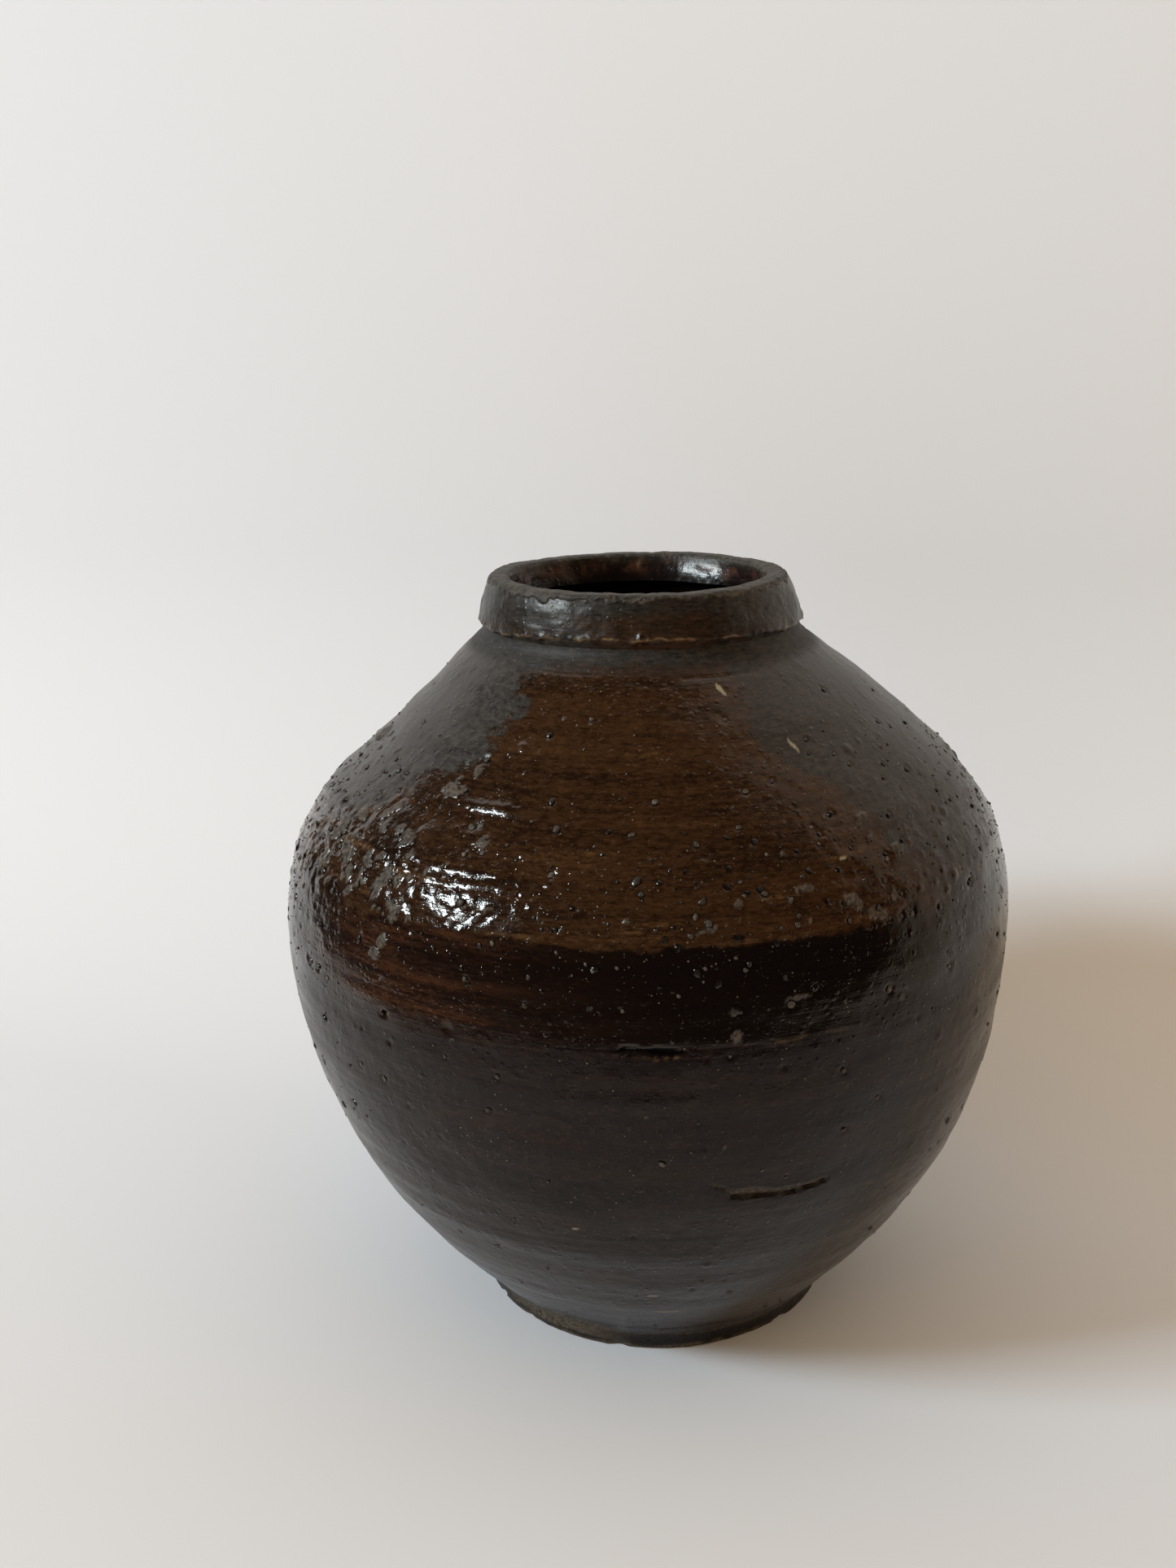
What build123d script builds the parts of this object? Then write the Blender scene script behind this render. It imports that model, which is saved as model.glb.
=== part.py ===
from build123d import *
import os

# Onggi storage jar, built up from strips of clay on a round slab.
# Units are millimetres. +Z is up, and the origin is the centre of the foot, on the ground.
# Heights count up the jar, one course of clay on the other.

# Slab that the jar stands on
slab_radius = 72.0
slab_thickness = 9.0
foot_taper = 2.5
foot_round = 1.5

# Wall, the same thickness in every course, and how far its seams slant down inside
wall = 8.0
seam_slant = 5.0

# Heights of the courses between their seams
foot_course_height = 43.0
lower_course_height = 52.0
belly_course_height = 55.0
ridge_course_height = 31.0
shoulder_course_height = 45.0
neck_course_height = 36.5
rim_height = 18.5

# How far the lower courses open out, each from the radius of the one below
foot_course_flare = 36.2
lower_course_flare = 24.6
belly_course_flare = 8.2

# How far the upper courses draw in again, the shoulder and the neck in two stretches each
ridge_course_draw = 4.8
shoulder_turn_draw = 15.7
shoulder_turn_rise = 25.0
shoulder_course_draw = 21.3
neck_course_draw = 36.7
neck_hollow_draw = 2.5
neck_hollow_height = 4.5

# How far each stretch of the wall bulges out beyond the straight line between its ends
foot_bulge = 1.1
lower_bulge = 2.2
belly_bulge = 2.0
ridge_bulge = 1.2
shoulder_bulge = 1.8
upper_shoulder_bulge = 0.1
neck_bulge = 0.2
neck_hollow = 0.6

# Inner edge of the wall where it stands on the slab, and the coil pressed into that corner
foot_wall_width = 11.5
lute_width = 9.0
lute_height = 6.0
lute_hollow = 1.2

# Rim, folded outwards into a band that overhangs the neck
throat_inset = 13.2
throat_length = 11.0
throat_hollow = 1.2
band_overhang = 1.4
band_lift = 3.5
band_bulge = 0.9
band_round = 0.6
lip_width = 8.0
lip_round = 2.5

# Tear along the lower seam, and a short open slit in the belly seam, both near the front.
# Each turn is counted from straight ahead, in degrees towards the right.
tear_length = 56.0
tear_depth = 2.8
tear_turn = 18.0
slit_length = 10.6
slit_depth = 0.8
slit_turn = 2.0

# Kiln grit fused to the shoulder in the firing
grit_count = 44
grit_radius = 1.3
grit_spread = 1.6
grit_clearance = 0.1
grit_low_share = 0.64
grit_high_share = 0.93
height_step_share = 0.7549
size_step_share = 0.287
grit_angle = 205.1

# Height of each seam, from the ground up
slab_top = slab_thickness
foot_seam = slab_top + foot_course_height
lower_seam = foot_seam + lower_course_height
belly_seam = lower_seam + belly_course_height
ridge_seam = belly_seam + ridge_course_height
shoulder_seam = ridge_seam + shoulder_course_height
neck_seam = shoulder_seam + neck_course_height
lip_top = neck_seam + rim_height

# Radius at each seam, from the slab out to the belly and in to the neck
foot_seam_radius = slab_radius + foot_course_flare
lower_seam_radius = foot_seam_radius + lower_course_flare
belly_radius = lower_seam_radius + belly_course_flare
ridge_radius = belly_radius - ridge_course_draw
shoulder_turn_radius = ridge_radius - shoulder_turn_draw
shoulder_seam_radius = shoulder_turn_radius - shoulder_course_draw
neck_turn_radius = shoulder_seam_radius - neck_course_draw
neck_radius = neck_turn_radius - neck_hollow_draw
mouth_radius = neck_radius - throat_inset

# Points of the outer outline, as (radius, height), and the bulge of the stretch above each
outer = [
    Vector(slab_radius, slab_top),
    Vector(foot_seam_radius, foot_seam),
    Vector(lower_seam_radius, lower_seam),
    Vector(belly_radius, belly_seam),
    Vector(ridge_radius, ridge_seam),
    Vector(shoulder_turn_radius, ridge_seam + shoulder_turn_rise),
    Vector(shoulder_seam_radius, shoulder_seam),
    Vector(neck_turn_radius, neck_seam - neck_hollow_height),
    Vector(neck_radius, neck_seam),
]
bulges = [
    foot_bulge,
    lower_bulge,
    belly_bulge,
    ridge_bulge,
    shoulder_bulge,
    upper_shoulder_bulge,
    neck_bulge,
    -neck_hollow,
]


def inner_point(index):
    """The point inside the wall across from an outer point, lower by the slant of the seams."""
    below = (outer[index] - outer[index - 1]).normalized()
    above = (outer[index + 1] - outer[index]).normalized()
    inward_below = Vector(-below.Y, below.X)
    inward_above = Vector(-above.Y, above.X)
    mitre = (inward_below + inward_above).normalized()
    return outer[index] + mitre * (wall / mitre.dot(inward_below)) - below * seam_slant


# Points of the inner outline, across from the outer ones
inner = [Vector(slab_radius - foot_wall_width, slab_top)]
inner += [inner_point(index) for index in range(1, len(outer) - 1)]
inner += [Vector(neck_radius - wall, neck_seam)]


def bulged_arc(start, end, bulge):
    """An arc of the outline that runs upwards and bulges away from the axis."""
    return SagittaArc(start, end, -bulge)


def course_section(first, last):
    """Section of the wall from one outline point to another, with its seams at the ends."""
    with BuildSketch() as section:
        with BuildLine():
            for index in range(first, last):
                bulged_arc(outer[index], outer[index + 1], bulges[index])
                bulged_arc(inner[index], inner[index + 1], bulges[index])
            Line(outer[first], inner[first])
            Line(outer[last], inner[last])
        make_face()
    return section.sketch


def spindle(length, depth):
    """A solid that is thickest in its middle and runs out to a point at both ends."""
    tip = Vector(length / 2, 0)
    with BuildPart() as body:
        with BuildSketch():
            with BuildLine():
                SagittaArc(-tip, tip, depth)
                Line(tip, -tip)
            make_face()
        revolve(axis=Axis.X)
    return body.part


# Spindles laid along the seams, to cut the tear and the slit out of the wall
tear_place = Rot(0, 0, tear_turn) * Pos(0, -lower_seam_radius, lower_seam)
tear = tear_place * spindle(tear_length, tear_depth)
slit_place = Rot(0, 0, slit_turn) * Pos(0, -belly_radius, belly_seam)
slit = slit_place * spindle(slit_length, slit_depth)

os.makedirs("parts", exist_ok=True)

# Round slab of clay, beaten flat, with its lower edge worn round
with BuildPart() as base_slab:
    with BuildSketch(Plane.YZ) as slab_section:
        with BuildLine():
            Polyline(
                (0, 0),
                (slab_radius - foot_taper, 0),
                (slab_radius, slab_top),
                (0, slab_top),
                close=True,
            )
        make_face()
        foot_corner = slab_section.vertices().group_by(Axis.Y)[0].sort_by(Axis.X)[-1]
        fillet(foot_corner, radius=foot_round)
    revolve(axis=Axis.Z)
base_slab.part.label = "base_slab"
export_step(base_slab.part, "parts/base_slab.step")

# First strip, luted to the slab and opening out from it
with BuildPart() as foot_course:
    with BuildSketch(Plane.YZ):
        add(course_section(0, 1))
    revolve(axis=Axis.Z)
foot_course.part.label = "foot_course"
export_step(foot_course.part, "parts/foot_course.step")

# Thin coil pressed into the corner inside, between the slab and the first strip
with BuildPart() as base_lute:
    corner = inner[0]
    toe = corner - Vector(lute_width, 0)
    heel = corner + (inner[1] - inner[0]).normalized() * lute_height
    behind = heel + Vector(wall / 2, 0)
    with BuildSketch(Plane.YZ):
        with BuildLine():
            SagittaArc(toe, heel, lute_hollow)
            Polyline(heel, behind, (behind.X, corner.Y), toe)
        make_face()
    revolve(axis=Axis.Z)
    add(foot_course.part, mode=Mode.SUBTRACT)
base_lute.part.label = "base_lute"
export_step(base_lute.part, "parts/base_lute.step")

# Second strip, up to the seam that has torn
with BuildPart() as lower_course:
    with BuildSketch(Plane.YZ):
        add(course_section(1, 2))
    revolve(axis=Axis.Z)
    add(tear, mode=Mode.SUBTRACT)
lower_course.part.label = "lower_course"
export_step(lower_course.part, "parts/lower_course.step")

# Third strip, up to the widest part of the belly
with BuildPart() as belly_course:
    with BuildSketch(Plane.YZ):
        add(course_section(2, 3))
    revolve(axis=Axis.Z)
    add(tear, mode=Mode.SUBTRACT)
    add(slit, mode=Mode.SUBTRACT)
belly_course.part.label = "belly_course"
export_step(belly_course.part, "parts/belly_course.step")

# Low strip above the belly, up to the ridge under the shoulder
with BuildPart() as ridge_course:
    with BuildSketch(Plane.YZ):
        add(course_section(3, 4))
    revolve(axis=Axis.Z)
    add(slit, mode=Mode.SUBTRACT)
ridge_course.part.label = "ridge_course"
export_step(ridge_course.part, "parts/ridge_course.step")

# Shoulder strip, turned in over the belly
with BuildPart() as shoulder_course:
    with BuildSketch(Plane.YZ):
        add(course_section(4, 6))
    revolve(axis=Axis.Z)
shoulder_course.part.label = "shoulder_course"
export_step(shoulder_course.part, "parts/shoulder_course.step")

# Last strip, drawn in to the hollow of the neck
with BuildPart() as neck_course:
    with BuildSketch(Plane.YZ):
        add(course_section(6, 8))
    revolve(axis=Axis.Z)
neck_course.part.label = "neck_course"
export_step(neck_course.part, "parts/neck_course.step")

# Rim coil: a short round throat inside, and a band folded over outside
band_edge = Vector(neck_radius + band_overhang, neck_seam + band_lift)
lip_edge = Vector(mouth_radius + lip_width, lip_top)
throat_foot = Vector(mouth_radius, lip_top - throat_length)
with BuildPart() as rim_band:
    with BuildSketch(Plane.YZ) as rim_section:
        with BuildLine():
            Line(inner[-1], outer[-1])
            Line(outer[-1], band_edge)
            bulged_arc(band_edge, lip_edge, band_bulge)
            Polyline(lip_edge, (mouth_radius, lip_top), throat_foot)
            SagittaArc(throat_foot, inner[-1], throat_hollow)
        make_face()
        fillet(rim_section.vertices().group_by(Axis.Y)[-1], radius=lip_round)
        fillet(rim_section.vertices().sort_by(Axis.X)[-1], radius=band_round)
    revolve(axis=Axis.Z)
rim_band.part.label = "rim_band"
export_step(rim_band.part, "parts/rim_band.step")

# Grains of grit, spread over the shoulder by one steady turn and rise from each to the next.
# Each is a dome just clear of the plane that touches the wall there, so it never cuts into it.
with BuildLine() as outline:
    for index, bulge in enumerate(bulges):
        bulged_arc(outer[index], outer[index + 1], bulge)
with BuildPart() as kiln_grit:
    for index in range(grit_count):
        height_share = (index * height_step_share) % 1
        size_share = (index * size_step_share) % 1
        place_share = grit_low_share + (grit_high_share - grit_low_share) * height_share
        spot = outline.wire() @ place_share
        slope = outline.wire() % place_share
        turn = index * grit_angle
        seat = Vector(spot.X, 0, spot.Y).rotate(Axis.Z, turn)
        outward = Vector(slope.Y, 0, -slope.X).rotate(Axis.Z, turn)
        with Locations(Plane(origin=seat, z_dir=outward).offset(grit_clearance)):
            Sphere(
                radius=grit_radius + grit_spread * size_share**2,
                arc_size1=0,
                align=(Align.CENTER, Align.CENTER, Align.MIN),
            )
kiln_grit.part.label = "kiln_grit"
export_step(kiln_grit.part, "parts/kiln_grit.step")
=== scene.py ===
import math

import bmesh
import bpy
import numpy as np
from mathutils import Matrix, Vector


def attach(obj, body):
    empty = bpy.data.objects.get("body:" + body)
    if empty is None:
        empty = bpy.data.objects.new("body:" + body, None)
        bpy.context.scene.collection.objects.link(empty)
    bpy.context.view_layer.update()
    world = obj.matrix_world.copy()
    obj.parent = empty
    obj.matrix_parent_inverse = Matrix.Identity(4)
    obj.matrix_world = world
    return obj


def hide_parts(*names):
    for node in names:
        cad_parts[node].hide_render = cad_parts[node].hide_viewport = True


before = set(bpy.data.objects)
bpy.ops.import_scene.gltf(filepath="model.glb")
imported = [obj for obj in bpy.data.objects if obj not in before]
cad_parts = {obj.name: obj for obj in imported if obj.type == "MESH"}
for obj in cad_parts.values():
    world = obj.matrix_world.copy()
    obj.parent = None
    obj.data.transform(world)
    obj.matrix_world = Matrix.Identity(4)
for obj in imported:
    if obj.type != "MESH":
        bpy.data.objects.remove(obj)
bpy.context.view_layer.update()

# Sizes below are in millimetres, and turns in degrees from straight ahead, to the right.
MM = 0.001

# Steps round the jar of each turned piece, which is spun as one sector and then doubled
COURSE_STEPS = 960
RIM_STEPS = 832
SLAB_STEPS = 480
LUTE_STEPS = 352
SECTOR_DOUBLINGS = 4

# Spacing of the points along the outside and the inside of the wall
ROW = 0.85
INNER_ROW = 6.0

# Thickness of the wall, the slant of its seams, and its width where it stands on the slab
WALL = 8.0
SEAM_SLANT = 5.0
FOOT_WALL_WIDTH = 11.5

# Points of the outer outline, as (radius, height), and the bulge of the stretch above each
STATIONS = [
    (72.0, 9.0),
    (108.2, 52.0),
    (132.8, 104.0),
    (141.0, 159.0),
    (136.2, 190.0),
    (120.5, 215.0),
    (99.2, 235.0),
    (62.5, 267.0),
    (60.0, 271.5),
]
BULGES = [1.1, 2.2, 2.0, 1.2, 1.8, 0.1, 0.2, -0.6]

# How far the hand-built wall leans to the right of the plumb line, at each height
LEAN_HEIGHTS = [0, 45, 68, 91, 114, 137, 160, 183, 206, 228, 248, 262, 272, 290]
LEAN = [2.6, 2.2, 1.5, 1.1, 0.4, -0.1, 0.0, 0.3, 1.5, 3.8, 2.4, -0.4, -1.2, -2.1]
LEAN_BLEND = 9.0

# How far the wall is out of round at the belly, in two and in three waves, and narrower in all
BELLY_RADIUS = 141
TWO_WAVES = 0.45
THREE_WAVES = 0.3
NARROWER = 0.55

# How widely the outline's corners are eased, and how near to its two ends they are kept
CORNER_EASE = 3.0
END_HOLD = 9.0


# Outline of the wall

def bowed(start, end, bulge, step):
    """Points along a stretch that bulges outwards, from its start to just before its end."""
    start = np.array(start, float)
    run = np.array(end, float) - start
    length = math.hypot(*run)
    outward = np.array([run[1], -run[0]]) / length
    count = max(2, round(length / step))
    shares = np.arange(count) / count
    return [start + run * t + outward * (4 * bulge * t * (1 - t)) for t in shares]


def inner_station(index):
    """The point inside the wall across from an outer one, lower by the slant of the seams."""
    here = np.array(STATIONS[index])
    below = here - np.array(STATIONS[index - 1])
    above = np.array(STATIONS[index + 1]) - here
    below = below / math.hypot(*below)
    above = above / math.hypot(*above)
    inward_below = np.array([-below[1], below[0]])
    mitre = inward_below + np.array([-above[1], above[0]])
    mitre = mitre / math.hypot(*mitre)
    return here + mitre * (WALL / mitre.dot(inward_below)) - below * SEAM_SLANT


INNER = [(STATIONS[0][0] - FOOT_WALL_WIDTH, STATIONS[0][1])]
INNER += [tuple(inner_station(index)) for index in range(1, len(STATIONS) - 1)]
INNER += [(STATIONS[-1][0] - WALL, STATIONS[-1][1])]

# The whole outline, row by row, with the distance run along it and where each stretch starts
STRETCHES = [
    bowed(STATIONS[i], STATIONS[i + 1], BULGES[i], ROW) for i in range(len(BULGES))
]
OUTLINE = np.array([p for stretch in STRETCHES for p in stretch] + [STATIONS[-1]])
RUNS = np.concatenate([[0], np.cumsum(np.hypot(*np.diff(OUTLINE, axis=0).T))])
STARTS = np.concatenate([[0], np.cumsum([len(stretch) for stretch in STRETCHES])])


def run_at(height):
    """Distance along the outline up to a height."""
    return np.interp(height, OUTLINE[:, 1], RUNS)


def softened(values):
    """The outline's values with its corners eased, but not at its two ends."""
    gaps = RUNS[:, None] - RUNS[None, :]
    weights = np.exp(-((gaps / CORNER_EASE) ** 2))
    eased = (weights * values[None, :]).sum(1) / weights.sum(1)
    hold = np.clip(np.minimum(RUNS, RUNS[-1] - RUNS) / END_HOLD, 0, 1)
    return values + (eased - values) * hold


SOFT_RADIUS = softened(OUTLINE[:, 0])
SOFT_HEIGHT = softened(OUTLINE[:, 1])
SLOPE_RADIUS = np.gradient(SOFT_RADIUS, RUNS)
SLOPE_HEIGHT = np.gradient(SOFT_HEIGHT, RUNS)


def radius_at(run):
    """Radius of the wall at a distance along the outline."""
    return np.interp(run, RUNS, SOFT_RADIUS)


def height_at(run):
    """Height of the wall at a distance along the outline."""
    return np.interp(run, RUNS, SOFT_HEIGHT)


# Uneven surfaces, read from a table of random values at places mixed from whole numbers

TABLE_SIZE = 4096
MIXERS = (73856093, 19349663, 83492791)


def drift(places, seed):
    """Smooth hills and hollows between -1 and 1, about one to each unit of the places."""
    table = np.random.default_rng(seed).uniform(-1, 1, TABLE_SIZE)
    base = np.floor(places).astype(np.int64)
    part = places - base
    part = part * part * (3 - 2 * part)
    total = np.zeros(len(places))
    for corner in np.ndindex(2, 2, 2):
        cell = base + np.array(corner)
        mixed = (cell[:, 0] * MIXERS[0]) ^ (cell[:, 1] * MIXERS[1]) ^ (cell[:, 2] * MIXERS[2])
        share = np.where(np.array(corner) == 1, part, 1 - part).prod(1)
        total += table[mixed & (TABLE_SIZE - 1)] * share
    return total


def ease(values, low, high):
    """0 below low, 1 above high, and smooth between."""
    share = np.clip((values - low) / (high - low), 0, 1)
    return share * share * (3 - 2 * share)


def hump(values, centre, width):
    """1 at the centre and smoothly down to nothing."""
    return np.exp(-(((values - centre) / width) ** 2))


def turned_by(turn, other):
    """Difference of two turns, from -180 to 180 degrees."""
    return (turn - other + 180) % 360 - 180


def facing(turn, at_turn, reach):
    """1 at one turn and smoothly down to nothing on both sides of it."""
    return hump(turned_by(turn, at_turn), 0, reach)


def lean_at(height):
    """How far the jar leans to the right at a height."""
    weights = np.exp(-(((height[:, None] - np.array(LEAN_HEIGHTS)) / LEAN_BLEND) ** 2))
    return (weights * np.array(LEAN)).sum(1) / weights.sum(1)


def on_circle(turn, radius, height):
    """Places at turns, radii and heights."""
    angle = np.radians(turn)
    return np.stack([radius * np.sin(angle), -radius * np.cos(angle), height], 1)


def hand_made(turn, radius, height):
    """Places of points of the jar with its lean and its slightly uneven roundness."""
    angle = np.radians(turn)
    uneven = TWO_WAVES * np.sin(2 * angle + 0.6)
    uneven += THREE_WAVES * np.sin(3 * angle - 0.9 + height / 130)
    share = radius / BELLY_RADIUS
    places = on_circle(turn, radius + uneven * share - NARROWER * share, height)
    places[:, 0] += lean_at(height) * np.clip(radius / 40, 0, 1)
    return places


def around(turn, run):
    """Places on the plain outline, to read uneven patterns at."""
    return on_circle(turn, radius_at(run), height_at(run))


# Marks on the wall. Each point of a path is its turn, its height and its half height there.

TEAR = [
    (9.1, 105.8, 0.25),
    (10.2, 104.8, 0.4),
    (11.4, 102.9, 0.7),
    (12.1, 101.3, 1.6),
    (13.5, 101.1, 2.1),
    (15.7, 100.8, 1.9),
    (18.3, 99.9, 1.6),
    (21.6, 99.3, 1.4),
    (24.9, 100.1, 1.2),
    (26.4, 100.5, 0.9),
    (27.1, 100.8, 0.25),
]
SLITS = [
    [(-3.6, 159.4, 0.3), (-1.8, 159.1, 1.1), (-0.5, 159.2, 0.4)],
    [(-0.1, 159.0, 0.5), (1.2, 158.7, 1.4), (3.4, 158.3, 1.4), (4.8, 158.0, 0.4)],
]
SLIT_RAISED = [(-4.0, 157.2, 0.25), (-1.0, 156.5, 0.35), (1.5, 155.9, 0.3), (5.2, 156.4, 0.3)]
NECK_LINES = [
    [(-14.0, 266.4, 0.7), (8.0, 266.2, 0.7), (26.0, 265.4, 0.7), (40.0, 266.2, 0.7)],
    [(-38.0, 264.4, 0.6), (-26.0, 263.6, 0.6), (-12.0, 263.9, 0.6)],
    [(12.0, 262.7, 0.6), (24.0, 262.2, 0.6), (36.0, 262.8, 0.6)],
    [(60.0, 265.2, 0.7), (120.0, 265.8, 0.7), (178.0, 265.0, 0.7)],
    [(-170.0, 263.6, 0.6), (-120.0, 264.4, 0.6), (-70.0, 264.0, 0.6)],
]
RIDGE_HEIGHT = 190.0
GLAZE_EDGE = 159.6

# Left and right edges of the clear brown glaze in front, as turns at heights
CLEAR_HEIGHTS = [190, 202, 217, 232, 238, 255, 262, 272]
CLEAR_LEFT = [-92, -76, -58, -45, -37, -35, -32, -30]
CLEAR_RIGHT = [50, 42, 37, 32, 25, 24, 28, 31]

# Throwing marks on the shoulder, as turn, height, width, rise and reach round the jar
THROWING_MARKS = [
    (-31.0, 225.2, 1.5, 0.72, 9.0),
    (-30.0, 217.2, 1.9, 0.52, 9.0),
    (-28.0, 208.4, 2.1, 0.60, 15.0),
    (-26.0, 204.4, 1.6, -0.40, 18.0),
    (-30.0, 199.6, 3.2, 0.36, 20.0),
    (20.0, 203.0, 2.2, 0.24, 24.0),
    (34.0, 208.5, 2.0, 0.22, 18.0),
    (70.0, 221.0, 2.2, 0.30, 30.0),
    (110.0, 205.0, 2.4, 0.30, 34.0),
    (-100.0, 212.0, 2.2, 0.32, 30.0),
    (-150.0, 226.0, 2.0, 0.28, 34.0),
    (160.0, 214.0, 2.4, 0.30, 30.0),
]

# Where the fire has left the skin coarse, and where grit lies thick: the most of it, the turn and
# the reach round the jar, and the height and the reach up and down
COARSE = [
    (1.0, -52, 21, 202, 18),
    (0.35, 45, 26, 205, 20),
    (0.5, 165, 30, 205, 18),
]
GRITTY = [
    (0.95, -62, 34, 203, 27),
    (0.42, 62, 38, 212, 26),
    (0.85, 5, 40, 200, 19),
    (0.4, 178, 70, 208, 30),
]


def along(turn, run, path):
    """Distance to a path on the wall in shares of its half height there, and the side it is on."""
    best = np.full(len(turn), 1e6)
    side = np.zeros(len(turn))
    radius = radius_at(run)
    for start, end in zip(path, path[1:]):
        across = np.radians(turned_by(turn, start[0])) * radius
        up = run - run_at(start[1])
        run_across = np.radians(end[0] - start[0]) * radius
        run_up = run_at(end[1]) - run_at(start[1])
        share = np.clip((across * run_across + up * run_up) / (run_across**2 + run_up**2), 0, 1)
        half = start[2] + (end[2] - start[2]) * share
        distance = np.hypot(across - share * run_across, up - share * run_up) / half
        nearer = distance < best
        best = np.where(nearer, distance, best)
        side = np.where(nearer, (up - share * run_up) / half, side)
    return best, side


def tear_share(turn, run):
    """How far the torn seam is open, from 0 to 1, with a ragged edge."""
    place = around(turn, run)
    ragged = 0.22 * drift(place / 4.5, 31) + 0.12 * drift(place / 2.0, 32)
    return 1 - ease(along(turn, run, TEAR)[0] + ragged, 0.7, 1.25)


def crack_share(turn, run):
    """The deep crack along the lower edge of the tear, and the two slits in the belly seam; the
    finish paints them near black as their shade.
    """
    distance, side = along(turn, run, TEAR)
    ragged = 0.15 * drift(around(turn, run) / 2.1, 33)
    crack = 0.9 * hump(side + ragged, -0.75, 0.32) * (distance < 1.3)
    for path in SLITS:
        open_share = 1 - ease(along(turn, run, path)[0] + ragged, 0.7, 1.2)
        crack = np.maximum(crack, open_share)
    return crack


def clouds(turn, height, rows):
    """The sum of soft patches on the wall."""
    return sum(
        most * facing(turn, at_turn, reach) * hump(height, at_height, tall)
        for most, at_turn, reach, at_height, tall in rows
    )


def ridge_run(turn, run):
    """Distance above the uneven ridge."""
    place = around(turn, run)
    uneven = 1.5 * drift(place / 45, 18) + 0.5 * drift(place / 9, 28)
    return run - run_at(RIDGE_HEIGHT) - 1.5 + uneven + 0.35 * drift(place / 3, 29)


def dull_share(turn, run):
    """Where the glaze is dark and dull, beside the clear brown front and close under the rim,
    greyed there as painted sheen.
    """
    place = around(turn, run)
    height = place[:, 2]
    ragged = 6.0 * drift(place / 11, 62) + 3.0 * drift(place / 4.1, 63)
    left = np.interp(height, CLEAR_HEIGHTS, CLEAR_LEFT)
    right = np.interp(height, CLEAR_HEIGHTS, CLEAR_RIGHT)
    outside = ease(turn + ragged, right - 7, right + 7) * (1 - ease(turn, 100, 140))
    outside += (1 - ease(turn + ragged, left - 7, left + 7)) * ease(turn, -140, -110)
    top = ease(height + 0.2 * ragged, 264.6, 268.4)
    return np.maximum(outside * ease(height, 192, 224), top)


def seam_run(turn, run):
    """Distance above the uneven edge of the thick glaze, along the belly seam."""
    place = around(turn, run)
    uneven = 0.9 * drift(place / 14, 20) + 0.4 * drift(place / 3, 21)
    return run - run_at(GLAZE_EDGE) - uneven


def ridge_front(turn):
    """Where the ridge is plain to see: from the left of the front to the middle of the right."""
    return ease(turn, -52, -28) * (1 - ease(turn, 22, 46)) + 0.7 * facing(turn, 175, 45)


def seam_front(turn):
    """Where the edge of the thick glaze shows along the belly seam: near the front, and behind."""
    return facing(turn, 3, 24) + 0.6 * facing(turn, 160, 40)


def relief(turn, run):
    """How far the glazed skin stands proud of its plain outline."""
    place = around(turn, run)
    height = place[:, 2]
    tilted = place * np.array([0.006, 0.006, 1.0])
    tilted[:, 2] += 1.4 * np.sin(np.radians(turn) + 0.8)
    lower = 1 - ease(height, 150, 185)
    shoulder = ease(height, 188, 198) * (1 - ease(height, 240, 256))
    rise = 0.5 * drift(place / 38, 11) + 0.24 * drift(place / 17, 12)
    rise += (0.1 + 0.3 * lower) * drift(tilted * np.array([1, 1, 1 / 12]), 13)
    rise += 0.3 * shoulder * drift(tilted * np.array([3.5, 3.5, 1 / 8.0]), 22)
    rise += (0.08 + 0.05 * lower) * drift(tilted * np.array([2, 2, 1 / 5.2]), 14)
    rise += 0.05 * drift(tilted * np.array([4, 4, 1 / 2.3]), 15)
    rise += 0.09 * drift(place / 4.5, 16) + 0.05 * drift(place / 2.1, 17)
    wavy = height + 0.7 * drift(place / 11, 26) + 0.25 * drift(place / 3.5, 27)
    for at_turn, at_height, width, high, reach in THROWING_MARKS:
        rise += high * hump(wavy, at_height, width) * facing(turn, at_turn, reach)
    rough = clouds(turn, height, COARSE)
    rise += rough * (0.55 * drift(place / 5, 23) + 0.4 * drift(place / 2.3, 24))
    ridge = ridge_run(turn, run)
    lap = np.where(ridge > 0, hump(ridge, 0, 5.0), hump(ridge, 0, 2.3))
    strength = 0.15 + 0.6 * ridge_front(turn) + 0.3 * drift(place / 19, 19)
    rise += strength * (0.42 * lap - 0.25 * hump(ridge, -4.5, 2.8))
    seam = seam_run(turn, run)
    rise += 0.17 * seam_front(turn) * ease(seam, -0.5, 0.4) * (1 - ease(seam, 2, 16))
    for path in NECK_LINES:
        rise -= 0.26 * hump(along(turn, run, path)[0], 0, 1.0)
    rise += crust_share(turn, run) * (0.42 + 0.4 * drift(place / 1.6, 25))
    rise -= 0.7 * tear_share(turn, run) + 0.9 * crack_share(turn, run)
    rise *= ease(run, -1, 5) * (1 - ease(run, RUNS[-1] - 5, RUNS[-1]) * 0.8)
    return rise + 0.45 * hump(run, 0, 3.0)


def skin(turn, run):
    """Places of points of the glazed skin."""
    proud = relief(turn, run) + blisters(turn, run)
    wider = np.interp(run, RUNS, SLOPE_HEIGHT) * proud
    lower = np.interp(run, RUNS, SLOPE_RADIUS) * proud
    return hand_made(turn, radius_at(run) + wider, height_at(run) - lower)


# Kiln grit, and the blisters and pits beside it

def grit_density(turn, height):
    """Share of the places tried that carry a grain."""
    low = 0.04 * ease(height, 25, 130) * (1 - ease(height, 160, 200))
    return clouds(turn, height, GRITTY) + low


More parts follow.
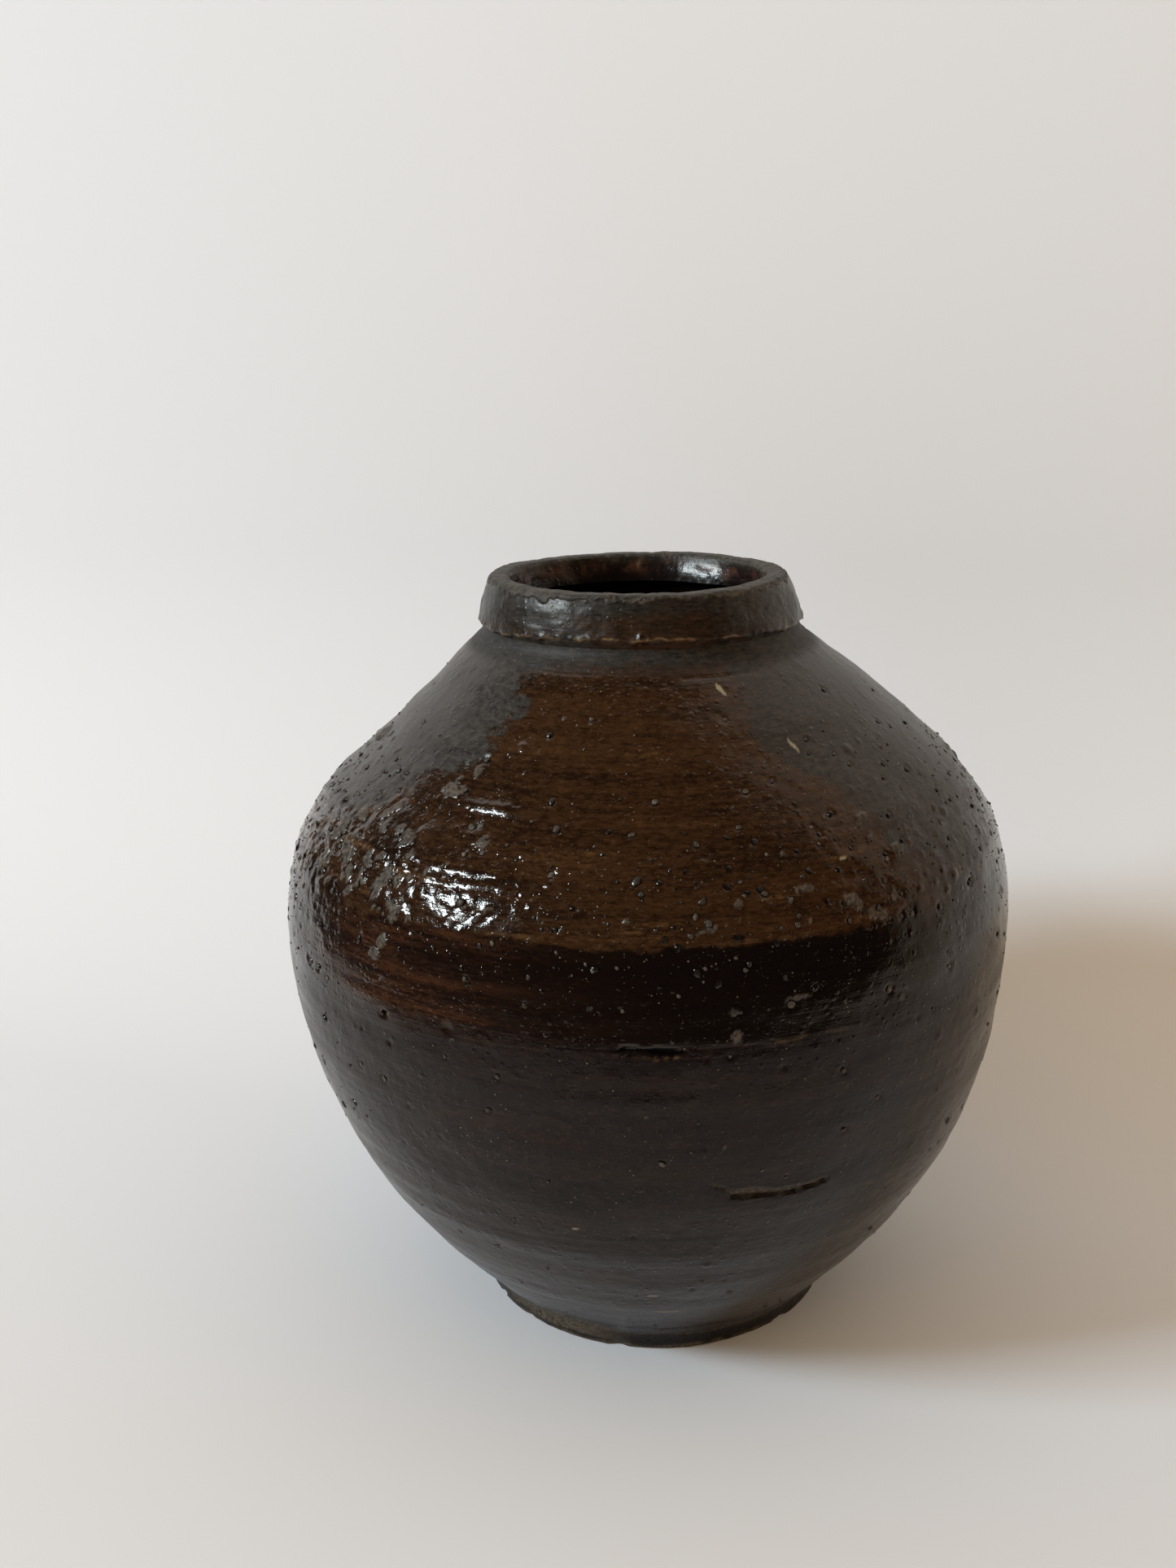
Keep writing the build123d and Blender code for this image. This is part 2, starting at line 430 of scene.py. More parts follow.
def scattered(seed, tries, small, large, density):
    """Grains as rows of turn, run along the outline, and radius."""
    pick = np.random.default_rng(seed)
    turn = pick.uniform(-180, 180, tries)
    height = pick.uniform(22, 262, tries)
    size = small + (large - small) * pick.uniform(0, 1, tries) ** 3.0
    run = run_at(height)
    keep = pick.uniform(0, 1, tries) < density(turn, height) * radius_at(run) / BELLY_RADIUS
    return np.stack([turn, run, size], 1)[keep]


BLISTERS = scattered(41, 3000, 1.1, 2.8, grit_density)
PITS = scattered(42, 1500, 1.0, 2.0, lambda turn, height: 0.5 * grit_density(turn, height) + 0.08)


# Turn, height and radius of the grains that stand out in front
FRONT_GRAINS = [
    (-13.9, 251.2, 1.0),
    (-14.3, 243.2, 0.7),
    (10.8, 237.0, 0.6),
    (-6.5, 230.6, 0.8),
    (-0.2, 230.1, 1.5),
    (-16.6, 221.9, 1.4),
    (-3.9, 221.8, 1.2),
    (13.7, 222.7, 1.1),
    (11.5, 220.2, 0.8),
    (26.3, 220.6, 0.9),
    (-1.9, 209.9, 1.6),
    (1.4, 209.4, 1.0),
    (2.9, 212.8, 0.9),
    (5.2, 212.3, 0.7),
    (-1.2, 206.3, 1.2),
    (7.4, 204.2, 1.4),
    (8.1, 198.0, 1.5),
    (-10.8, 201.9, 1.1),
    (3.3, 197.2, 1.0),
    (1.0, 196.4, 0.9),
    (5.7, 194.6, 1.0),
    (2.3, 193.8, 1.2),
    (22.9, 208.4, 0.9),
    (13.6, 185.1, 1.4),
    (7.7, 184.9, 1.0),
    (11.9, 171.3, 1.4),
    (19.2, 171.1, 1.6),
    (-12.0, 189.0, 0.7),
    (17.6, 190.9, 1.0),
    (-7.7, 216.7, 0.8),
    (17.9, 215.2, 0.8),
]

# The solids' own grains: how many they are, the shares of the outline that they lie between, and
# the steps of rise, size and turn from each to the next
GRIT_COUNT = 44
GRIT_LOW = 0.64
GRIT_HIGH = 0.93
GRIT_RISE = 0.7549
GRIT_SIZE_STEP = 0.287
GRIT_TURN = 205.1


def grains():
    """Every grain: the solids' own, the strewn ones and their crumbs, and those in front."""
    index = np.arange(GRIT_COUNT)
    run = RUNS[-1] * (GRIT_LOW + (GRIT_HIGH - GRIT_LOW) * ((index * GRIT_RISE) % 1))
    size = 0.8 + 0.8 * ((index * GRIT_SIZE_STEP) % 1) ** 2
    turn = (90 + index * GRIT_TURN + 180) % 360 - 180
    steady = np.stack([turn, run, size], 1)
    strewn = scattered(43, 10600, 0.26, 1.45, grit_density)
    crumbs = scattered(45, 15000, 0.2, 0.5, grit_density)
    front = np.array(FRONT_GRAINS)
    front[:, 1] = run_at(front[:, 1])
    return np.concatenate([steady, strewn, crumbs, front])


GRAINS = grains()

# Hollows in the glaze round the bigger grains
MOATS = GRAINS[GRAINS[:, 2] > 0.7] * np.array([1, 1, 1.8])


def blisters(turn, run):
    """Rise of the blisters, and the hollows of the pits and round the bigger grains."""
    rise = np.zeros(len(turn))
    order = np.argsort(run)
    sorted_run = run[order]
    for spots, height in ((BLISTERS, 0.24), (PITS, -0.36), (MOATS, -0.2)):
        for at_turn, at_run, size in spots:
            first, last = np.searchsorted(sorted_run, [at_run - size, at_run + size])
            near = order[first:last]
            across = np.radians(turned_by(turn[near], at_turn)) * radius_at(at_run)
            share = np.clip(1 - (across**2 + (run[near] - at_run) ** 2) / size**2, 0, 1)
            rise[near] += height * min(size, 2.4) * share**1.3
    return rise


# Turned pieces of clay

def turned(points, marks, closed, steps):
    """A mesh of the section's points spun once round the jar's axis, still in millimetres."""
    work = bmesh.new()
    mark = work.verts.layers.float.new("outline")
    row = []
    for (radius, height), value in zip(points, marks):
        corner = work.verts.new((0, radius, height))
        corner[mark] = value
        row.append(corner)
    ends = row[1:] + row[:1] if closed else row[1:]
    for here, there in zip(row, ends):
        work.edges.new((here, there))
    sector = 2 * math.pi / 2**SECTOR_DOUBLINGS
    bmesh.ops.spin(
        work,
        geom=work.verts[:] + work.edges[:],
        cent=(0, 0, 0),
        axis=(0, 0, 1),
        angle=sector,
        steps=steps // 2**SECTOR_DOUBLINGS,
    )
    for doubling in range(SECTOR_DOUBLINGS):
        copied = bmesh.ops.duplicate(work, geom=work.verts[:] + work.edges[:] + work.faces[:])
        corners = [part for part in copied["geom"] if isinstance(part, bmesh.types.BMVert)]
        onward = Matrix.Rotation(sector * 2**doubling, 3, "Z")
        bmesh.ops.rotate(work, verts=corners, cent=(0, 0, 0), matrix=onward)
    bmesh.ops.remove_doubles(work, verts=work.verts, dist=0.001)
    bmesh.ops.recalc_face_normals(work, faces=work.faces)
    mesh = bpy.data.meshes.new("turned")
    work.to_mesh(mesh)
    work.free()
    return mesh


def read_points(mesh):
    """Turn, radius, height and mark of each point of a turned mesh."""
    places = np.zeros(len(mesh.vertices) * 3)
    mesh.vertices.foreach_get("co", places)
    places = places.reshape(-1, 3)
    marks = np.zeros(len(mesh.vertices))
    mesh.attributes["outline"].data.foreach_get("value", marks)
    turn = np.degrees(np.arctan2(places[:, 0], -places[:, 1]))
    return turn, np.hypot(places[:, 0], places[:, 1]), places[:, 2], marks


def write_points(mesh, places, seams=None):
    """Puts the points in their places, in metres, and keeps hard corners and the seams hard."""
    mesh.vertices.foreach_set("co", (places * MM).ravel())
    mesh.update()
    mesh.set_sharp_from_angle(angle=math.radians(50))
    if seams is not None:
        ends = np.zeros(len(mesh.edges) * 2, int)
        mesh.edges.foreach_get("vertices", ends)
        hard = np.zeros(len(mesh.edges), bool)
        mesh.edges.foreach_get("use_edge_sharp", hard)
        hard |= seams[ends.reshape(-1, 2)].all(1)
        mesh.edges.foreach_set("use_edge_sharp", hard)


def write_masks(mesh, masks):
    """Keeps named shares for each point, for the piece's finish to read."""
    for name, values in masks.items():
        mask = mesh.attributes.new(name, "FLOAT", "POINT")
        mask.data.foreach_set("value", values.astype(np.float32))


def piece(mesh, node, finish):
    """The finished piece, standing for its solid and riding with the jar."""
    name = "fired_" + node
    mesh.name = name
    mesh.materials.clear()
    mesh.materials.append(finish)
    for polygon in mesh.polygons:
        polygon.use_smooth = True
    made = bpy.data.objects.new(name, mesh)
    bpy.context.scene.collection.objects.link(made)
    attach(made, "root")
    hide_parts(node)
    return made


# Turn, height, half width, half height and lean of each patch where the glaze is crusted over
CRUST_SPOTS = [
    (-36.9, 233.4, 2.2, 2.6, 0.0),
    (-40.8, 227.0, 5.6, 3.2, 0.1),
    (-50.7, 219.3, 6.0, 1.9, 0.9),
    (-45.6, 215.4, 2.3, 2.0, 0.3),
    (-42.4, 213.3, 3.0, 2.0, -0.2),
    (-49.4, 204.6, 2.6, 3.0, 0.1),
    (-43.3, 201.9, 3.8, 3.6, 0.5),
    (-39.3, 192.9, 4.2, 2.4, -0.6),
    (-40.0, 182.0, 2.2, 3.4, -0.3),
    (-41.4, 177.6, 3.0, 2.2, 0.4),
    (-54.7, 202.4, 2.6, 4.2, 0.2),
    (-61.0, 208.0, 3.0, 4.0, 0.4),
    (-84.0, 230.6, 7.0, 4.0, 0.5),
    (-27.8, 216.4, 2.1, 2.2, 0.0),
    (-27.4, 199.4, 2.8, 1.4, -0.4),
    (34.0, 193.0, 6.0, 2.4, -0.5),
    (29.4, 199.6, 4.4, 1.7, -0.7),
    (22.7, 205.2, 4.2, 1.7, 0.2),
    (36.4, 220.0, 3.2, 1.6, 0.5),
    (41.0, 210.0, 2.6, 1.8, -0.4),
    (12.2, 203.0, 2.2, 1.3, 0.3),
    (-3.0, 199.0, 1.8, 1.2, 0.0),
    (8.2, 196.4, 2.8, 1.3, 0.4),
    (11.4, 170.8, 2.0, 1.5, 0.0),
    (11.8, 162.4, 1.4, 1.8, 0.0),
    (20.6, 173.2, 3.4, 0.9, 0.1),
    (131.0, 214.0, 4.6, 2.6, 0.5),
    (152.0, 199.0, 3.0, 4.0, 0.2),
    (-158.0, 222.0, 5.0, 2.4, -0.4),
    (-131.0, 204.0, 2.6, 3.6, 0.3),
    (88.0, 219.0, 3.4, 2.2, 0.6),
]

# The same for the marks that chaff has left: pale slivers, and a worn dash low down
HUSKS = [
    (21.5, 258.8, 0.75, 3.7, 0.30),
    (31.5, 242.0, 0.95, 4.3, 0.34),
    (2.9, 32.3, 5.2, 0.6, 0.0),
    (-0.2, 45.2, 1.8, 0.5, 0.0),
    (-11.8, 85.1, 1.6, 0.6, -0.2),
    (31.0, 211.0, 3.0, 0.5, -0.3),
]


def patch(turn, run, at_turn, at_height, half_width, half_height, lean):
    """Share of one small patch with a ragged edge."""
    at_run = run_at(at_height)
    share = np.zeros(len(turn))
    radius = radius_at(at_run)
    reach = 1.6 * max(half_width, half_height)
    near = np.abs(turned_by(turn, at_turn)) < 60 * reach / radius
    near &= np.abs(run - at_run) < reach
    across = np.radians(turned_by(turn[near], at_turn)) * radius
    up = run[near] - at_run
    wide = (across * math.cos(lean) + up * math.sin(lean)) / half_width
    tall = (up * math.cos(lean) - across * math.sin(lean)) / half_height
    place = around(turn[near], run[near])
    ragged = 0.55 * drift(place / 2.6, 58) + 0.35 * drift(place / 1.2, 59)
    share[near] = 1 - ease(np.hypot(wide, tall) + ragged, 0.7, 1.0)
    return share


def crust_share(turn, run):
    """Share of dry crust: the patches, and crumbs of it where the skin is coarse."""
    place = around(turn, run)
    rough = clouds(turn, place[:, 2], COARSE)
    crumbs = 0.6 * drift(place / 4.2, 55) + 0.6 * drift(place / 1.9, 56) + 0.75 * rough
    crust = ease(crumbs, 0.84, 0.98)
    for spot in CRUST_SPOTS:
        crust = np.maximum(crust, patch(turn, run, *spot))
    return crust


def foot_strip(turn):
    """Where the clay of the foot is bare: left of the front, and in places behind."""
    front = ease(turn, -66, -44) * (1 - ease(turn, -22, -4))
    behind = 0.8 * facing(turn, 150, 40) + 0.5 * facing(turn, -130, 24)
    return front + behind


def wall_masks(turn, run, height):
    """Shares of each colour and surface over the glazed skin."""
    place = around(turn, run)
    low = place * np.array([0.03, 0.03, 0.11])
    ridge = ridge_run(turn, run)
    shown = np.clip(ridge_front(turn), 0, 1)
    spread = 1.3 + 9 * (1 - shown)
    uneven = 0.8 * drift(place / 8, 50) + 0.5 * drift(place / 2.3, 70)
    brown = ease(ridge + spread * uneven, -spread, spread)
    right = ease(turn, 26, 50) * (1 - ease(turn, 120, 150))
    brown *= 1 - 0.6 * right * (1 - ease(height, 205, 235))
    left = facing(turn, -34, 19) + 0.8 * facing(turn, 150, 40)
    streak = ease(drift(low, 52) + 0.5 * drift(place * np.array([0.06, 0.06, 0.5]), 51), -0.7, 0.6)
    red = ease(height, 146, 170) * left * (0.35 + 0.65 * streak) * (1 - brown)
    ochre = ease(drift(place * np.array([0.05, 0.05, 0.22]), 53), 0.0, 0.6) * brown
    ochre *= 0.2 + 0.8 * (1 - ease(height, 204, 228))
    dotted = 0.25 + 0.75 * ease(drift(place / 2.2, 67), -0.2, 0.5)
    gold = hump(ridge, 0.7, 0.5) * ease(drift(place / 13, 54) + 0.2, 0, 0.6) * dotted
    gold *= shown * (0.25 + 0.75 * facing(turn, -8, 24))
    above = seam_run(turn, run)
    seam = hump(above, 0.1, 0.5) * ease(drift(place / 9, 60), 0.1, 0.5) * seam_front(turn)
    beside = along(turn, run, SLIT_RAISED)[0] + 0.8 * drift(place / 1.6, 68)
    below_slit = (1 - ease(beside, 0.6, 1.4)) * dotted
    gold = np.maximum(gold, np.maximum(0.6 * seam, 0.7 * below_slit))
    edge = 1.2 + 14 * (1 - np.clip(seam_front(turn), 0, 1))
    gloss = ease(above + edge * 0.8 * drift(place / 11, 61), -edge, edge)
    coarse = np.clip(clouds(turn, height, COARSE) + 0.9 * grit_density(turn, height), 0, 1)
    husk = np.zeros(len(turn))
    for spot in HUSKS:
        husk = np.maximum(husk, patch(turn, run, *spot))
    foot = 6.6 + 5.6 * foot_strip(turn)
    foot += 1.6 * drift(place / 8, 57) + 0.8 * drift(place / 2.6, 69)
    return {
        "tone": np.clip(brown, 0, 1),
        "red": np.clip(red, 0, 1),
        "ochre": ochre,
        "gold": np.clip(gold, 0, 1),
        "crust": crust_share(turn, run),
        "husk": husk,
        "bare": 1 - ease(height, foot - 0.7, foot + 0.7),
        "gloss": gloss,
        "coarse": coarse,
        "dull": dull_share(turn, run),
        "torn": tear_share(turn, run),
        "crack": crack_share(turn, run),
        "inside": np.zeros(len(turn)),
    }


def course(node, first, last, finish):
    """One strip of the wall, from one station of the outline to another."""
    start = STARTS[first]
    end = STARTS[last]
    outer = [tuple(p) for p in OUTLINE[start : end + 1]]
    inner = []
    for index in range(first, last):
        inner += bowed(INNER[index], INNER[index + 1], BULGES[index], INNER_ROW)
    inner = [tuple(p) for p in inner] + [INNER[last]]
    marks = list(RUNS[start : end + 1]) + [-1.0] * len(inner)
    mesh = turned(outer + inner[::-1], marks, True, COURSE_STEPS)
    turn, radius, height, run = read_points(mesh)
    skinned = run >= 0
    places = hand_made(turn, radius, height)
    places[skinned] = skin(turn[skinned], run[skinned])
    masks = wall_masks(turn[skinned], run[skinned], height[skinned])
    seams = skinned & ((run < marks[0] + 0.01) | (run > RUNS[end] - 0.01))
    write_points(mesh, places, seams)
    for name, values in masks.items():
        masks[name] = np.full(len(turn), 1.0 if name == "inside" else 0.0)
        masks[name][skinned] = values
    write_masks(mesh, masks)
    return piece(mesh, node, finish)


# Finishes

class Wire:
    """A socket that sums and products can be written with, each adding its Math node."""

    def __init__(self, finish, socket):
        self.finish = finish
        self.socket = socket

    def worked(self, operation, first, second):
        return self.finish.node("ShaderNodeMath", {"operation": operation}, {0: first, 1: second})

    def __add__(self, other):
        return self.worked("ADD", self, other)

    def __radd__(self, other):
        return self.worked("ADD", other, self)

    def __sub__(self, other):
        return self.worked("SUBTRACT", self, other)

    def __rsub__(self, other):
        return self.worked("SUBTRACT", other, self)

    def __mul__(self, other):
        return self.worked("MULTIPLY", self, other)

    def __rmul__(self, other):
        return self.worked("MULTIPLY", other, self)


class Finish:
    """One node tree, and the ways that its nodes are made."""

    def __init__(self, tree):
        self.tree = tree
        tree.nodes.clear()

    def node(self, kind, settings=None, inputs=None, output=0):
        made = self.tree.nodes.new(kind)
        for key, value in (settings or {}).items():
            setattr(made, key, value)
        for key, value in (inputs or {}).items():
            if isinstance(value, Wire):
                self.tree.links.new(value.socket, made.inputs[key])
            else:
                made.inputs[key].default_value = value
        return Wire(self, made.outputs[output]) if made.outputs else None

    def grain(self, size, stretch=(1, 1, 1), detail=3.0, shift=0.0, roughness=0.55):
        """Uneven shares from 0 to 1, whose spots are about as many millimetres across as size."""
        spot = self.node("ShaderNodeTexCoord", output="Object")
        scale = tuple(1000 / size * share for share in stretch)
        place = self.node(
            "ShaderNodeMapping",
            {},
            {"Vector": spot, "Location": (shift, shift * 0.7, shift * 1.3), "Scale": scale},
        )
        return self.node(
            "ShaderNodeTexNoise",
            {},
            {"Vector": place, "Scale": 1.0, "Detail": detail, "Roughness": roughness},
        )

    def cells(self, size, shift=0.0):
        """Distance to the nearest of scattered points, in shares of the size between them."""
        spot = self.node("ShaderNodeTexCoord", output="Object")
        place = self.node(
            "ShaderNodeMapping",
            {},
            {"Vector": spot, "Location": (shift,) * 3, "Scale": (1000 / size,) * 3},
        )
        return self.node("ShaderNodeTexVoronoi", {}, {"Vector": place, "Scale": 1.0})

    def mask(self, name):
        return self.node("ShaderNodeAttribute", {"attribute_name": name}, output="Fac")

    def way(self, kind, axis):
        """How far along one axis a place is, in metres, or how far a direction of the room."""
        spot = self.node("ShaderNodeTexCoord", output=kind)
        return self.node("ShaderNodeSeparateXYZ", {}, {0: spot}, axis)

    def ray(self, kind):
        return self.node("ShaderNodeLightPath", output=kind)

    def between(self, value, low, high):
        """0 below low, 1 above high, and smooth between."""
        return self.node(
            "ShaderNodeMapRange",
            {"interpolation_type": "SMOOTHSTEP"},
            {"Value": value, "From Min": low, "From Max": high},
        )

    def blend(self, share, under, over):
        return self.node("ShaderNodeMix", {"data_type": "RGBA"}, {0: share, 6: under, 7: over}, 2)

    def passing(self, value, low, high, under, over):
        """One colour where the value is below low, another above high, and between them both."""
        return self.blend(self.between(value, low, high), under, over)

    def level(self, share, under, over):
        return under + share * (over - under)

    def bump(self, height, distance, below=None):
        inputs = {"Height": height, "Distance": distance * MM, "Strength": 1.0}
        if below:
            inputs["Normal"] = below
        return self.node("ShaderNodeBump", {}, inputs)

    def larger(self, first, second):
        return self.node("ShaderNodeMath", {"operation": "MAXIMUM"}, {0: first, 1: second})

    def shader(self, color, roughness, normal, ior=1.5):
        inputs = {"Base Color": color, "Roughness": roughness, "Normal": normal, "IOR": ior}
        inputs["Specular Tint"] = IRON_SHEEN
        return self.node("ShaderNodeBsdfPrincipled", {}, inputs)

    def show(self, shader):
        self.node("ShaderNodeOutputMaterial", {}, {"Surface": shader})


def new_finish(name):
    material = bpy.data.materials.new(name)
    material.use_nodes = True
    return material, Finish(material.node_tree)


# Linear colours of the glazes and clays, the first that of the warm sheen of their iron
IRON_SHEEN = (1.0, 0.90, 0.80, 1)
BLACK_GLAZE = (0.0042, 0.0022, 0.0018, 1)
LOW_GLAZE = (0.0038, 0.0019, 0.0022, 1)
LOW_DUST = (0.0130, 0.0078, 0.0068, 1)
LOW_RUST = (0.0260, 0.0110, 0.0060, 1)
BROWN_GLAZE = (0.0480, 0.0218, 0.0084, 1)
DEEP_GLAZE = (0.0095, 0.0038, 0.0019, 1)
# Grey of the dark dull glaze, lightened to stand in for its sheen: partly painted sheen
DULL_GLAZE_SHEEN = (0.0420, 0.0342, 0.0265, 1)
AMBER_GLAZE = (0.0860, 0.0460, 0.0175, 1)
RED_DEEP = (0.0100, 0.0036, 0.0022, 1)
RED_GLAZE = (0.0550, 0.0212, 0.0088, 1)
GOLD_EDGE = (0.120, 0.068, 0.028, 1)
RIM_GOLD = (0.190, 0.115, 0.052, 1)
CRUST = (0.050, 0.040, 0.029, 1)
ASH_CRUST = (0.145, 0.116, 0.077, 1)
HUSK = (0.300, 0.260, 0.175, 1)
FOOT_CLAY = (0.100, 0.084, 0.060, 1)
FOOT_STAIN = (0.075, 0.06, 0.045, 1)
DARK_CLAY = (0.034, 0.025, 0.018, 1)
TORN_CLAY = (0.0220, 0.0160, 0.0110, 1)
TORN_TOP = (0.0700, 0.0540, 0.0360, 1)
# Near black painted shade in the crack and the slits
CRACK_SHADE = (0.0010, 0.0008, 0.0007, 1)
# Smoky grey of the rim's dark glaze, lightened to stand in for its sheen: partly painted sheen
SMOKE_GLAZE_SHEEN = (0.0350, 0.0295, 0.0235, 1)
WORN_DARK = (0.020, 0.0155, 0.0115, 1)
WORN_PALE = (0.066, 0.055, 0.040, 1)
INNER_BROWN = (0.0110, 0.0046, 0.0032, 1)
INNER_RED = (0.0480, 0.0190, 0.0115, 1)
INNER_TAN = (0.110, 0.066, 0.038, 1)
# Pale specks, partly real and partly painted highlights for tiny glints
PALE_SPECK_GLINT = (0.260, 0.215, 0.165, 1)
GRAIN_TOP = (0.046, 0.033, 0.022, 1)
GRAIN_DRY = (0.120, 0.104, 0.080, 1)


def glaze_color(make, tone, ochre):
    """The streaked and finely speckled brown of the ash glaze, over its near black."""
    streaks = make.grain(13, (0.14, 0.14, 3.4), 6.0, 3.0, 0.7)
    broad = make.grain(60, (0.5, 0.5, 1.6), 3.0, 9.0)
    fine = make.grain(1.5, (0.4, 0.4, 1.5), 5.0, 5.0, 0.8)
    share = make.between(tone + (broad - 0.5) * 0.4 + (fine - 0.5) * 0.3, 0.1, 0.8)
    mixed = fine * 0.55 + streaks * 0.3 + broad * 0.15
    brown = make.passing(mixed, 0.37, 0.63, DEEP_GLAZE, BROWN_GLAZE)
    base = make.blend(share, BLACK_GLAZE, brown)
    amber = make.between(streaks * 0.6 + fine * 0.4 + ochre * 0.09, 0.57, 0.70) * share
    base = make.blend(amber * 0.75, base, AMBER_GLAZE)
    dots = 1 - make.between(make.cells(1.7, 33.0), 0.10, 0.2)
    dots = dots * make.between(streaks, 0.45, 0.62) * share * (0.2 + 0.5 * ochre)
    return make.blend(dots, base, AMBER_GLAZE), fine, streaks


def pebbles(make, spacing, spread, shift, below, high):
    """Small glossy domes in the glaze, in clusters."""
    dome = 1 - make.between(make.cells(spacing, shift), 0.08, spread)
    where = make.between(make.grain(spacing * 4, shift=shift + 9), 0.42, 0.56)
    return make.bump(dome * where, high, below)


def glaze_bump(make, coarse):
    """Fine grain, shallow dimples, pebbles and thin drawn lines in the glaze."""
    lines = make.grain(7, (0.05, 0.05, 2.4), 3.0, 21.0, 0.6)
    dimples = make.between(make.cells(2.3, 4.0), 0.02, 0.26)
    rare = make.between(make.grain(9, shift=13.0), 0.48, 0.6)
    normal = make.bump(lines, 0.15)
    normal = make.bump(make.grain(2.6, detail=2.0, shift=2.0) * (0.6 + coarse), 0.10, normal)
    normal = make.bump(make.grain(0.6, detail=2.0, shift=7.0), 0.04, normal)
    normal = pebbles(make, 3.3, 0.36, 17.0, normal, 0.12)
    normal = pebbles(make, 1.5, 0.32, 27.0, normal, 0.05)
    return make.bump(1 - (1 - dimples) * rare, 0.13, normal)


def specks(make, spacing, low, high, shift):
    """Share of small round specks, thicker in some places than in others; pale, they also paint
    tiny glints.
    """
    speck = 1 - make.between(make.cells(spacing, shift), low, high)
    return speck * make.between(make.grain(16, shift=shift + 6), 0.42, 0.58)


def ash_glaze():
    """Ash glaze: thick, brown and glossy on the shoulder, thin and dusty below the belly."""
    material, make = new_finish("ash_glaze")
    coarse = make.mask("coarse")
    gloss = make.mask("gloss")
    ragged = make.grain(2.4, (0.6, 0.6, 1.0), 5.0, 45.0, 0.75)
    dull = make.between(make.mask("dull") + (ragged - 0.5) * 2.2, 0.28, 0.72)
    blotch = make.between(make.grain(15, (0.6, 0.6, 1.2), 5.0, 51.0, 0.7), 0.49, 0.6)
    tone = make.mask("tone") * (1 - dull * 0.9) * (1 - blotch * coarse * 0.55)
    base, fine, streaks = glaze_color(make, tone, make.mask("ochre"))
    # Painted sheen: the dull glaze is flecked with a grey that stands in for its sheen
    flecked_sheen = make.passing(fine, 0.3, 0.7, BLACK_GLAZE, DULL_GLAZE_SHEEN)
    base = make.blend(dull * 0.9, base, flecked_sheen)
    red = make.mask("red")
    reddish = make.passing(streaks + (fine - 0.5) * 0.9, 0.36, 0.66, RED_DEEP, RED_GLAZE)
    base = make.blend(red, base, reddish)
    bands = make.grain(24, (0.14, 0.14, 2.2), 4.0, 31.0, 0.6)
    mottle = make.grain(5, (0.5, 0.5, 1.0), 4.0, 35.0, 0.6)
    dust = bands * 0.6 + mottle * 0.4 + (fine - 0.5) * 0.9
    low = make.passing(dust, 0.42, 0.66, LOW_GLAZE, LOW_DUST)
    rust = make.between(make.grain(19, (0.3, 0.3, 1.4), 5.0, 41.0, 0.7), 0.56, 0.68)
    low = make.blend(rust * make.between(fine, 0.35, 0.65) * 0.4, low, LOW_RUST)
    thin = (1 - gloss) * (1 - make.between(tone + red, 0.05, 0.6))
    base = make.blend(thin, base, low)
    # Pale specks, partly real and partly painted highlights standing in for tiny glints
    base = make.blend(specks(make, 3.6, 0.05, 0.10, 11.0) * 0.6, base, PALE_SPECK_GLINT)
    base = make.blend(specks(make, 1.9, 0.05, 0.11, 14.0) * 0.45, base, PALE_SPECK_GLINT)
    base = make.blend(specks(make, 1.2, 0.08, 0.2, 24.0) * thin * 0.10, base, PALE_SPECK_GLINT)
    gold = make.mask("gold") * make.between(make.grain(2.5, shift=6.0), 0.3, 0.6)
    base = make.blend(gold, base, GOLD_EDGE)

    crumbly = make.grain(1.5, detail=4.0, shift=8.0)
    crust = make.mask("crust") * make.between(crumbly, 0.28, 0.46)
    crust_color = make.passing(crumbly, 0.42, 0.68, CRUST, ASH_CRUST)
    base = make.blend(crust * 0.6, base, crust_color)
    husk = make.mask("husk")
    base = make.blend(husk * 0.9, base, HUSK)
    bare = make.mask("bare")
    base = make.blend(bare, base, make.passing(crumbly, 0.35, 0.65, DARK_CLAY, FOOT_CLAY))
    torn = make.mask("torn")
    base = make.blend(torn, base, make.passing(crumbly, 0.35, 0.6, TORN_CLAY, TORN_TOP))
    # Painted shade: the crack and the slits are painted near black
    base = make.blend(make.mask("crack"), base, CRACK_SHADE)
    inside = make.mask("inside")
    washed = make.between(make.grain(7, detail=4.0, shift=1.0), 0.52, 0.68)
    base = make.blend(inside, base, make.blend(washed * 0.5, INNER_BROWN, INNER_RED))

    shiny = make.level(make.between(fine, 0.3, 0.8), 0.10, 0.20)
    shiny = make.level(dull, shiny, make.level(make.between(fine, 0.3, 0.7), 0.31, 0.41))
    shiny = make.level(make.between(make.way("Object", "Z"), 0.262, 0.266), shiny, 0.62)
    soft = make.level(make.between(bands, 0.3, 0.7), 0.20, 0.33)
    dry = make.larger(make.mask("crust") + husk, bare + torn)
    normal = make.bump((crust + bare) * crumbly, 0.45, glaze_bump(make, coarse))
    thick = make.shader(base, make.level(dry, shiny, 0.62), normal, 1.5)
    thinner = make.shader(base, make.level(dry, soft, 0.62), normal, 1.33)
    make.show(make.node("ShaderNodeMixShader", {}, {0: gloss, 1: thinner, 2: thick}))
    return material


